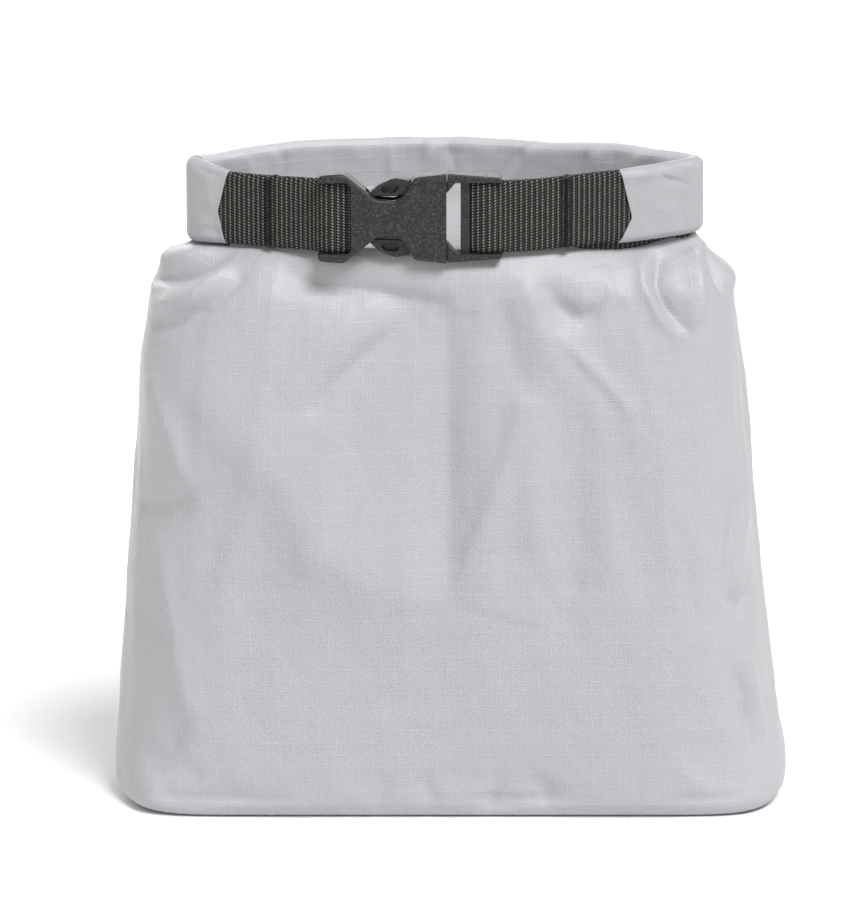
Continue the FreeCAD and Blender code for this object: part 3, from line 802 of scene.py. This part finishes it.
def looped_line(side):
    """The webbing's own line: in along the front, round the bar and back along the rear."""
    line, at = resample(strap_line(side), 0.25)
    normal = normals_of(line) * -side
    apart = LAYERS_APART + (LOOP_RADIUS - LAYERS_APART) * (1 - ease(at / 9.0))
    front = line + normal * apart[:, None]
    rear = line - normal * apart[:, None]
    if front[0, 1] > rear[0, 1]:
        front, rear = rear, front
    centre = line[0]
    start = math.atan2(*(front[0] - centre)[::-1])
    turns = np.linspace(0, math.pi, 40)[1:-1] * -side
    arc = centre + LOOP_RADIUS * np.stack([np.cos(start + turns), np.sin(start + turns)], 1)
    t = np.linspace(0, 1, 40)[1:-1]
    bow = np.sin(t * math.pi) ** 0.5 * (0.2 + 0.8 * ease(t * 2.0 - 0.15))
    arc[:, 0] -= side * LOOP_SLACK[side] * bow
    return np.concatenate([front[::-1], arc, rear])


EDGE_SCALLOP, EDGE_WAVE = 0.34, 0.12


def band(name, line, low, high, half, rib_height, seed, rows, step, side=0):
    """Ribbed webbing along a line in plan: a closed band with ribs across it. For a side of -1 or
    1 its height follows that strap's centre line."""
    line, at = resample(line, step)
    normal = normals_of(line)
    rib = np.abs(np.sin(at / RIB * math.pi))
    columns = np.concatenate([np.linspace(-1, 1, rows), np.linspace(1, -1, rows)])
    face = np.concatenate([np.ones(rows), -np.ones(rows)])
    edge = np.sqrt(np.clip(1 - np.abs(columns) ** 10, 0.02, 1))
    centre = strap_middle(line[:, 0], side) if side else np.full(len(line), (low + high) / 2)
    tall = (high - low) / 2
    wobble = soft_noise(np.stack([at, at * 0, at * 0], 1), 30, seed) * EDGE_WAVE
    thick = half + (rib[:, None] - 0.5) * rib_height * np.where(np.abs(columns) > 0.95, 0.4, 1)
    points = np.zeros((len(line), 2 * rows, 3))
    points[:, :, :2] = line[:, None] + normal[:, None] * (thick * edge * face)[:, :, None]
    reach = tall + (rib[:, None] - 0.5) * EDGE_SCALLOP + wobble[:, None]
    points[:, :, 2] = centre[:, None] + columns * reach
    uv = np.zeros((len(line), 2 * rows + 1, 2))
    uv[:, :, 0] = at[:, None] * MM
    uv[:, :-1, 1] = (columns * tall * MM)[None]
    uv[:, -1, 1] = uv[:, 0, 1]
    return outward(grid_mesh(name, points, True, uv, caps=True))


def make_strap(name, side, seed):
    """One strap, doubled round its bar of the buckle."""
    line = looped_line(side)
    return band(
        name, line, STRAP_LOW, STRAP_HIGH, STRAP_HALF,
        rib_height=0.42, seed=seed, rows=18, step=RIB / 6, side=side,
    )


def make_rim():
    """The stiff strip rolled up in the collar. Its lower edge hangs just below the right sleeve."""
    path, out, _ = ring_path(-78.0, 36.5, 0.35)
    in_front = ease((2 - path[:, 1]) / 6) * (path[:, 0] > 0)
    inwards = 0.9 + 1.15 * in_front - 1.4 * ease((path[:, 0] - 80) / 6)
    line = path - out * inwards[:, None]
    obj = band(
        "rim_strip", line, low=206.4, high=231.4, half=0.5,
        rib_height=0.2, seed=43, rows=10, step=0.55,
    )
    points = vertices(obj)
    low = ease((214 - points[:, 2]) / 6)
    near_end = (points[:, 0] > 30) & (points[:, 1] < 0)
    end = np.where(near_end, 1 - ease((points[:, 0] - 36) / 22), 0)
    points[:, 2] += 4.6 * end * low
    points[:, 2] += 2.2 * ease((points[:, 0] - 58) / 28) * (points[:, 1] < 6) * low
    set_vertices(obj, points)
    return obj


def tube(name, lines, radius):
    """Round threads along lines of points, as one mesh."""
    curve = bpy.data.curves.new(name, "CURVE")
    curve.dimensions = "3D"
    curve.bevel_depth = radius * MM
    curve.bevel_resolution = 1
    curve.use_fill_caps = True
    for line in lines:
        spline = curve.splines.new("POLY")
        spline.points.add(len(line) - 1)
        for point, co in zip(spline.points, line):
            point.co = (*(np.array(co) * MM), 1)
    obj = bpy.data.objects.new(name, curve)
    bpy.context.scene.collection.objects.link(obj)
    only(obj)
    bpy.ops.object.convert(target="MESH")
    made = bpy.context.view_layer.objects.active
    for polygon in made.data.polygons:
        polygon.use_smooth = True
    return made


TACK_DEPTH, TACK_HALF_HEIGHT = 1.72, 12.9
TACK_HALF_WIDTHS = (1.6, 1.0)  # of its two layers
TACK_TURNS = 44
THREAD_RADIUS = 0.27


def make_tack(name, side):
    """A bar tack: thread that zigzags up the strap, on the front and on the rear."""
    line, _ = resample(strap_line(side), 0.25)
    place = LEFT_TACK if side < 0 else RIGHT_TACK
    i = int(np.argmin(np.abs(line[:, 0] - place)))
    normal = normals_of(line)[i]
    if normal[1] > 0:
        normal = -normal
    along = np.array([normal[1], -normal[0]])
    rng = np.random.default_rng(50 + side)
    middle = float(strap_middle(place, side))
    threads = []
    for face in (1, -1):
        for layer, half in enumerate(TACK_HALF_WIDTHS):
            path = []
            for k in range(TACK_TURNS + 1):
                z = middle + TACK_HALF_HEIGHT * (2 * k / TACK_TURNS - 1)
                across = (1 if k % 2 else -1) * half + rng.uniform(-0.2, 0.2)
                depth = face * (TACK_DEPTH + 0.12 * layer + rng.uniform(-0.05, 0.05))
                spot = line[i] + along * across + normal * depth
                path.append((spot[0], spot[1], z))
            threads.append(path)
    return tube(name, threads, THREAD_RADIUS)


# ---- materials


class Nodes:
    """A short way to write a material's nodes."""

    def __init__(self, name):
        self.material = bpy.data.materials.new(name)
        self.material.use_nodes = True
        self.tree = self.material.node_tree
        self.shader = self.tree.nodes["Principled BSDF"]

    def add(self, kind, **settings):
        node = self.tree.nodes.new(kind)
        for key, value in settings.items():
            setattr(node, key, value)
        return node

    def link(self, a, b):
        self.tree.links.new(a, b)

    def value(self, socket, amount):
        if hasattr(amount, "links"):
            self.link(amount, socket)
        else:
            socket.default_value = amount

    def math(self, operation, a, b=0.0, clamp=False):
        node = self.add("ShaderNodeMath", operation=operation, use_clamp=clamp)
        self.value(node.inputs[0], a)
        self.value(node.inputs[1], b)
        return node.outputs[0]

    def noise(self, vector, scale, detail=3.0, roughness=0.5):
        node = self.add("ShaderNodeTexNoise")
        self.link(vector, node.inputs["Vector"])
        node.inputs["Scale"].default_value = scale
        node.inputs["Detail"].default_value = detail
        node.inputs["Roughness"].default_value = roughness
        return node.outputs["Fac"]

    def scaled(self, vector, scale):
        node = self.add("ShaderNodeMapping")
        self.link(vector, node.inputs["Vector"])
        node.inputs["Scale"].default_value = scale
        return node.outputs["Vector"]

    def mix(self, factor, a, b):
        node = self.add("ShaderNodeMix", data_type="RGBA")
        self.value(node.inputs[0], factor)
        self.value(node.inputs[6], a)
        self.value(node.inputs[7], b)
        return node.outputs[2]

    def spread(self, value, low, high):
        """Stretches a value from 0 to 1 to run from low to high, and no further."""
        node = self.add("ShaderNodeMapRange")
        self.value(node.inputs[0], value)
        node.inputs[3].default_value = low
        node.inputs[4].default_value = high
        return node.outputs[0]

    def bump(self, height, strength, distance, after=None):
        node = self.add("ShaderNodeBump")
        self.value(node.inputs["Height"], height)
        node.inputs["Strength"].default_value = strength
        node.inputs["Distance"].default_value = distance
        if after is not None:
            self.link(after, node.inputs["Normal"])
        return node.outputs["Normal"]

    def wave(self, coordinate, pitch):
        """A sine wave from 0 to 1 along a coordinate in metres."""
        turns = self.math("MULTIPLY", coordinate, 2 * math.pi / pitch)
        return self.half_sine(turns)

    def sine(self, coordinate, pitch):
        """A sine wave from -1 to 1 along a coordinate in metres."""
        return self.math("SINE", self.math("MULTIPLY", coordinate, 2 * math.pi / pitch))

    def half_sine(self, turns):
        sine = self.math("SINE", turns)
        return self.math("ADD", self.math("MULTIPLY", sine, 0.5), 0.5)

    def line(self, coordinate, pitch, width):
        """1 on lines of that width at that pitch along a coordinate in metres, else 0."""
        phase = self.math("FRACT", self.math("DIVIDE", coordinate, pitch))
        gap = self.math("ABSOLUTE", self.math("SUBTRACT", phase, 0.5))
        edge = self.math("SUBTRACT", 0.5, gap)
        near = self.math("DIVIDE", edge, width / pitch)
        return self.math("SUBTRACT", 1.0, near, clamp=True)

    def done(self, color, roughness, normal):
        self.value(self.shader.inputs["Base Color"], color)
        self.value(self.shader.inputs["Roughness"], roughness)
        self.link(normal, self.shader.inputs["Normal"])
        return self.material


def rgb(r, g, b):
    return (r, g, b, 1.0)


# lengths of the woven patterns, in metres
YARN_PITCH = 0.00112  # two yarns of the plain weave
GRID_PITCH, GRID_WIDTH = 0.0047, 0.00045  # the ripstop's thicker yarns
BEAD_PITCH = 0.00102  # the painted highlight dashes along one rib of the webbing


def ripstop_material(name, light):
    """Plain-woven cloth with a grid of thicker yarns. light scales its colour: above 1 gives a copy
    painted lighter and below 1 a copy painted darker, as painted light and shade.
    """
    n = Nodes(name)

    def tone(*color):
        return rgb(*(light * c for c in color))

    coordinates = n.add("ShaderNodeTexCoord")
    uv, place = coordinates.outputs["UV"], coordinates.outputs["Object"]
    parts = n.add("ShaderNodeSeparateXYZ")
    n.link(uv, parts.inputs[0])
    u, v = parts.outputs["X"], parts.outputs["Y"]
    drift = n.math("MULTIPLY", n.noise(place, 60, 2), 0.0006)
    u2, v2 = n.math("ADD", u, drift), n.math("ADD", v, drift)
    lines_u = n.line(u2, GRID_PITCH, GRID_WIDTH)
    lines_v = n.line(v2, GRID_PITCH, GRID_WIDTH)
    grid = n.math("MAXIMUM", lines_u, lines_v)
    yarns = n.math("MULTIPLY", n.sine(u2, YARN_PITCH), n.sine(v2, YARN_PITCH))
    weave = n.math("ADD", n.math("MULTIPLY", yarns, 0.5), 0.5)
    slub_u = n.noise(n.scaled(uv, (2600, 90, 1)), 1.0, 2)
    slub_v = n.noise(n.scaled(uv, (90, 2600, 1)), 1.0, 2)
    slubs = n.math("MULTIPLY", n.math("ADD", slub_u, slub_v), 0.5)
    cloudy = n.noise(place, 9, 3)
    base = n.mix(cloudy, tone(0.402, 0.409, 0.427), tone(0.452, 0.459, 0.477))
    broken = n.spread(n.noise(place, 700, 2), -0.15, 0.6)
    grid_share = n.math("MULTIPLY", grid, broken, clamp=True)
    base = n.mix(grid_share, base, tone(0.57, 0.575, 0.59))
    slub_share = n.math("MULTIPLY", n.spread(slubs, -0.5, 1.5), 0.55, clamp=True)
    base = n.mix(slub_share, base, tone(0.365, 0.37, 0.385))
    base = n.mix(n.math("MULTIPLY", weave, 0.58), base, tone(0.59, 0.595, 0.61))
    rough = n.spread(n.noise(place, 30, 3), 0.38, 0.5)
    normal = n.bump(weave, 0.5, 0.00016)
    normal = n.bump(slubs, 0.3, 0.0002, normal)
    normal = n.bump(grid, 0.4, 0.00016, normal)
    normal = n.bump(n.noise(place, 95, 4), 0.16, 0.0015, normal)
    n.shader.inputs["Sheen Weight"].default_value = 0.12
    n.shader.inputs["Sheen Roughness"].default_value = 0.4
    n.shader.inputs["Specular IOR Level"].default_value = 0.45
    return n.done(base, rough, normal)


def webbing_material():
    """Black ribbed webbing with painted highlights: light dashes painted on the ribs' crests where
    the yarns cross, and finer ones between them.
    """
    n = Nodes("webbing")
    coordinates = n.add("ShaderNodeTexCoord")
    uv, place = coordinates.outputs["UV"], coordinates.outputs["Object"]
    parts = n.add("ShaderNodeSeparateXYZ")
    n.link(uv, parts.inputs[0])
    u, v = parts.outputs["X"], parts.outputs["Y"]
    column = n.math("FLOOR", n.math("DIVIDE", u, RIB * MM))
    v_shifted = n.math("ADD", v, n.math("MULTIPLY", column, BEAD_PITCH * 0.43))
    slanted = n.math("ADD", v_shifted, n.math("MULTIPLY", u, 0.5))
    bead = n.wave(slanted, BEAD_PITCH)
    turns = n.math("MULTIPLY", u, 2 * math.pi / (RIB * MM))
    crest = n.half_sine(n.math("ADD", turns, -math.pi / 2))
    crest = n.math("POWER", crest, 2.8)
    second = n.half_sine(n.math("ADD", turns, math.pi / 2))
    second = n.math("MULTIPLY", n.math("POWER", second, 6.0), n.wave(slanted, BEAD_PITCH * 0.5))
    stray = n.noise(place, 1500, 3, 0.65)
    # painted highlights: light dashes on the rib crests and finer ones between the ribs, painted
    # glints where the yarns cross
    painted_glint = n.math("MULTIPLY", n.math("POWER", bead, 1.5), crest)
    painted_glint = n.math("ADD", painted_glint, n.math("MULTIPLY", second, 0.22))
    painted_glint = n.math("MULTIPLY", painted_glint, n.spread(stray, -0.2, 1.9), clamp=True)
    base = n.mix(painted_glint, rgb(0.0035, 0.0034, 0.0033), rgb(0.46, 0.44, 0.41))
    height = n.math("ADD", n.math("MULTIPLY", bead, crest), n.math("MULTIPLY", second, 0.4))
    normal = n.bump(height, 0.9, 0.00035)
    normal = n.bump(stray, 0.6, 0.00018, normal)
    n.shader.inputs["Specular IOR Level"].default_value = 0.12
    n.shader.inputs["Sheen Weight"].default_value = 0.02
    return n.done(base, n.spread(stray, 0.55, 0.8), normal)


def thread_material():
    n = Nodes("thread")
    place = n.add("ShaderNodeTexCoord").outputs["Object"]
    strands = n.noise(place, 2400, 2)
    base = n.mix(strands, rgb(0.010, 0.0095, 0.009), rgb(0.05, 0.047, 0.044))
    return n.done(base, n.spread(strands, 0.45, 0.65), n.bump(strands, 0.7, 0.00012))


def plastic_material():
    n = Nodes("buckle_plastic")
    place = n.add("ShaderNodeTexCoord").outputs["Object"]
    grain = n.noise(place, 1700, 2, 0.6)
    patch = n.noise(place, 60, 3)
    base = n.mix(patch, rgb(0.008, 0.008, 0.008), rgb(0.012, 0.0118, 0.0115))
    speck = n.math("POWER", n.math("MULTIPLY", grain, 1.45), 7.0, clamp=True)
    base = n.mix(speck, base, rgb(0.085, 0.084, 0.082))
    rough = n.spread(grain, 0.28, 0.46)
    normal = n.bump(grain, 1.0, 0.0003)
    normal = n.bump(patch, 0.1, 0.0008, normal)
    n.shader.inputs["Specular IOR Level"].default_value = 0.45
    return n.done(base, rough, normal)


def tape_material():
    n = Nodes("seam_tape")
    place = n.add("ShaderNodeTexCoord").outputs["Object"]
    film = n.noise(place, 140, 3)
    base = n.mix(film, rgb(0.46, 0.47, 0.49), rgb(0.55, 0.56, 0.575))
    return n.done(base, n.spread(film, 0.3, 0.42), n.bump(film, 0.15, 0.0006))


def floor_material():
    n = Nodes("studio_floor")
    place = n.add("ShaderNodeTexCoord").outputs["Object"]
    tone = n.noise(place, 1.5, 2)
    base = n.mix(tone, rgb(0.90, 0.90, 0.905), rgb(0.92, 0.92, 0.92))
    return n.done(base, n.spread(tone, 0.7, 0.8), n.bump(tone, 0.02, 0.001))


def paint(obj, material):
    obj.data.materials.clear()
    obj.data.materials.append(material)
    return obj


EDGE_WIDTH, EDGE_WELD = 0.35, 0.03
EDGE_ANGLE = math.radians(50)


def finish_plastic(node):
    """Gives a CAD node its material, and rounds its edges a little."""
    obj = NODES[node]
    for slot in obj.material_slots:
        slot.material = PLASTIC
    edges = obj.modifiers.new("soft_edges", "BEVEL")
    edges.width = EDGE_WIDTH * MM
    edges.segments = 2
    edges.limit_method = "ANGLE"
    edges.angle_limit = EDGE_ANGLE
    clean = obj.modifiers.new("clean", "WELD")
    clean.merge_threshold = EDGE_WELD * MM


# ---- the studio

FLOOR_HALF = 6000.0  # in millimetres, as it is made into a mesh
WORLD_STRENGTH = 0.35
CAMERA_TARGET = (-0.0044, 0.0, 0.1262)
CAMERA_ELEVATION, CAMERA_DISTANCE = math.radians(15.0), 2.0
CAMERA_LENS = 217.1


def aim(obj, place, target):
    """Puts a light or camera in a place, turned to a target."""
    obj.location = place
    obj.rotation_euler = (Vector(target) - Vector(place)).to_track_quat("-Z", "Y").to_euler()


def sun_light(name, direction, strength, angle):
    light = bpy.data.lights.new(name, "SUN")
    light.energy = strength
    light.angle = math.radians(angle)
    obj = bpy.data.objects.new(name, light)
    bpy.context.scene.collection.objects.link(obj)
    aim(obj, direction, (0.0, 0.0, 0.0))
    return obj


SOFT_LIGHTS = [
    # name, place, target, width, height, power
    ("left_light", (-0.9, -1.2, 0.9), (0.0, 0.0, 0.15), 0.8, 0.8, 1.4),
    ("left_back_light", (-0.9, 1.1, 0.7), (-0.1, 0.1, 0.05), 1.0, 1.0, 7.0),
    ("back_light", (0.0, 1.5, 0.65), (0.0, 0.0, 0.2), 1.6, 0.3, 9.0),
]


def area_light(name, place, target, width, height, power):
    light = bpy.data.lights.new(name, "AREA")
    light.shape = "RECTANGLE"
    light.size = width
    light.size_y = height
    light.energy = power
    obj = bpy.data.objects.new(name, light)
    bpy.context.scene.collection.objects.link(obj)
    aim(obj, place, target)
    return obj


def make_studio():
    """A plain pale floor and soft light, strongest from the right and above."""
    far = FLOOR_HALF
    corners = np.array([[[-far, -far, 0], [far, -far, 0]], [[-far, far, 0], [far, far, 0]]])
    floor = paint(grid_mesh("studio_floor", corners, False), floor_material())
    world = bpy.context.scene.world or bpy.data.worlds.new("studio")
    bpy.context.scene.world = world
    world.use_nodes = True
    background = world.node_tree.nodes["Background"]
    background.inputs["Color"].default_value = rgb(1.0, 1.0, 1.0)
    background.inputs["Strength"].default_value = WORLD_STRENGTH
    sun_light("key_light", direction=(0.4, -0.53, 1.0), strength=3.05, angle=27)
    for light in SOFT_LIGHTS:
        area_light(*light)


def make_camera():
    """A long lens straight in front of the buckle, looking a little down."""
    back = Vector((0.0, -math.cos(CAMERA_ELEVATION), math.sin(CAMERA_ELEVATION)))
    place = Vector(CAMERA_TARGET) + CAMERA_DISTANCE * back
    camera = bpy.data.cameras.new("camera")
    camera.lens = CAMERA_LENS
    camera.sensor_width = 36.0
    camera.clip_end = 50.0
    obj = bpy.data.objects.new("camera", camera)
    bpy.context.scene.collection.objects.link(obj)
    aim(obj, place, CAMERA_TARGET)
    bpy.context.scene.camera = obj


# ---- building the whole

FABRIC = ripstop_material("ripstop_fabric", 0.96)
# the roll's copy of the cloth is painted lighter: painted light on the roll, whose inside face lies
# in shade
ROLL_FABRIC_PAINTED_LIGHT = ripstop_material("roll_fabric_painted_light", 1.14)
# the sleeves' copy of the cloth is painted darker: painted shade on the sleeves
SLEEVE_FABRIC_PAINTED_SHADE = ripstop_material("sleeve_fabric_painted_shade", 0.88)
TAPE = tape_material()
WEBBING = webbing_material()
THREAD = thread_material()
PLASTIC = plastic_material()

bag = make_fabric()
hang(bag)
finer(bag)
fold_fabric(bag)
paint(bag, FABRIC)
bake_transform(bag)
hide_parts("base_panel", "front_panel", "back_panel")

for node, keep in TAPES.items():
    tape = paint(make_tape(node.replace("seam_", "welded_"), bag, keep), TAPE)
    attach(tape, "bag")
    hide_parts(node)

roll = paint(make_roll(), ROLL_FABRIC_PAINTED_LIGHT)
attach(roll, "collar")
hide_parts("collar_outer_turn")

turns = paint(make_inner_turns(), FABRIC)
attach(turns, "collar")
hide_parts("collar_inner_turns")

SIDES = (
    # side's name, side, the buckle half that it moves with, where the blend starts and ends
    ("left", -1, "socket", {"start": (-0.093, 0, 0.222), "end": (-0.046, 0, 0.222)}),
    ("right", 1, "plug", {"start": (0.093, 0, 0.222), "end": (0.020, 0, 0.222)}),
)
for name, side, half, ends in SIDES:
    sleeve = paint(make_sleeve(f"{name}_sleeve", side), SLEEVE_FABRIC_PAINTED_SHADE)
    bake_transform(sleeve)

for seed, (name, side, half, ends) in enumerate(SIDES, 41):
    strap = paint(make_strap(f"{name}_webbing_strap", side, seed), WEBBING)
    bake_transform(strap)
    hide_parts(f"{name}_strap")

for name, side, half, ends in SIDES:
    tack = paint(make_tack(f"{name}_tack_thread", side), THREAD)
    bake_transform(tack)
    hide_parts(f"{name}_bar_tack")

rim = paint(make_rim(), WEBBING)
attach(rim, "collar")
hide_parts("rim_webbing")

for node in ("buckle_socket", "buckle_plug", "upper_prong", "lower_prong"):
    finish_plastic(node)

make_studio()
make_camera()
bpy.context.scene.view_settings.view_transform = "Standard"
